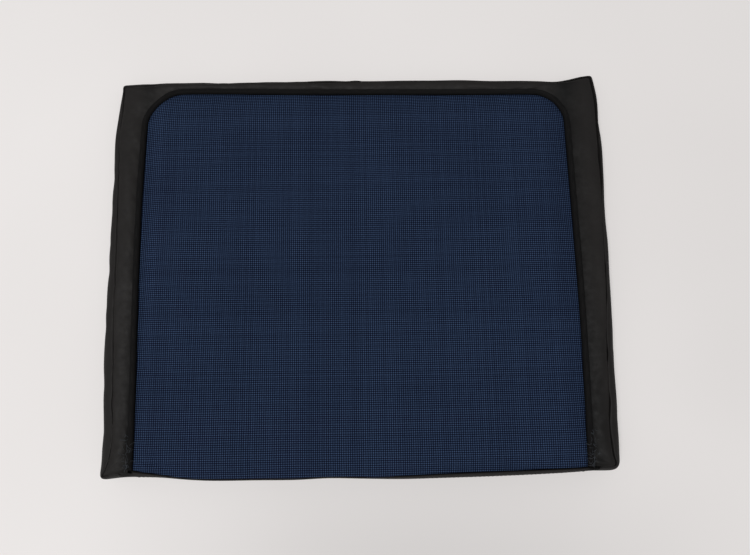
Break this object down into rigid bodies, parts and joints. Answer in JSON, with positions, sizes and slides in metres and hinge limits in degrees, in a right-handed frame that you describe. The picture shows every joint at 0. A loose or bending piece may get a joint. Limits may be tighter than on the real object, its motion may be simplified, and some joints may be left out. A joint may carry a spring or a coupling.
{
  "type": "back protector",
  "caption": "Wedge-shaped padded back panel in a black faux-leather cover with a corded blue mesh front, foam and stiffener inside, and a zip in the bottom wall.",
  "frame": {"origin": "centre of the back panel's underside, under the centre of the cover's outline", "axes": "+Z out of the mesh front, +Y towards the thin top edge, +X across the width; the pad lies on its back"},
  "size_m": [0.4, 0.322, 0.0282],
  "materials": {
    "faux_leather": "fine-grained matt black faux leather",
    "blue_mesh": "navy-blue woven mesh",
    "black_trim": "matt black woven piping",
    "white_cord": "braided cotton cord",
    "wadding": "grey foam-backed lining",
    "zip_tape": "black herringbone tape",
    "zip_coil": "black nylon coil",
    "zip_metal": "gunmetal plating",
    "comfort_foam": "open-cell cream foam",
    "impact_foam": "dense closed-cell grey foam",
    "stiffener": "milky polyethylene sheet"
  },
  "bodies": {
    "cover": {"back_panel": "faux_leather", "front_border": "faux_leather", "border_wadding": "wadding", "mesh_panel": "blue_mesh", "mesh_backing": "wadding", "piping_cover": "black_trim", "piping_cord": "white_cord", "piping_flange": "black_trim", "side_wall_left": "faux_leather", "side_wall_right": "faux_leather", "top_edge_binding": "faux_leather", "bottom_strip_upper": "faux_leather", "bottom_strip_lower": "faux_leather", "zip_tape_upper": "zip_tape", "zip_tape_lower": "zip_tape", "zip_coil_upper": "zip_coil", "zip_coil_lower": "zip_coil", "zip_top_stops": "zip_metal", "zip_bottom_stop": "zip_metal", "zip_end_tab_left": "faux_leather", "zip_end_tab_right": "faux_leather", "comfort_foam": "comfort_foam", "impact_foam": "impact_foam", "stiffener_sheet": "stiffener"},
    "slider": {"zip_slider": "zip_metal"},
    "pull": {"zip_pull": "zip_metal"}
  },
  "joints": [
    {"name": "zip_slide", "type": "slide", "parent": "cover", "child": "slider", "axis": [1, 0, 0], "range_m": [-0.31, 0]},
    {"name": "pull_hinge", "type": "hinge", "parent": "slider", "child": "pull", "pos_m": [0.155, -0.15745, 0.0105], "axis": [0, 0, 1], "range_deg": [0, 170]}
  ]
}
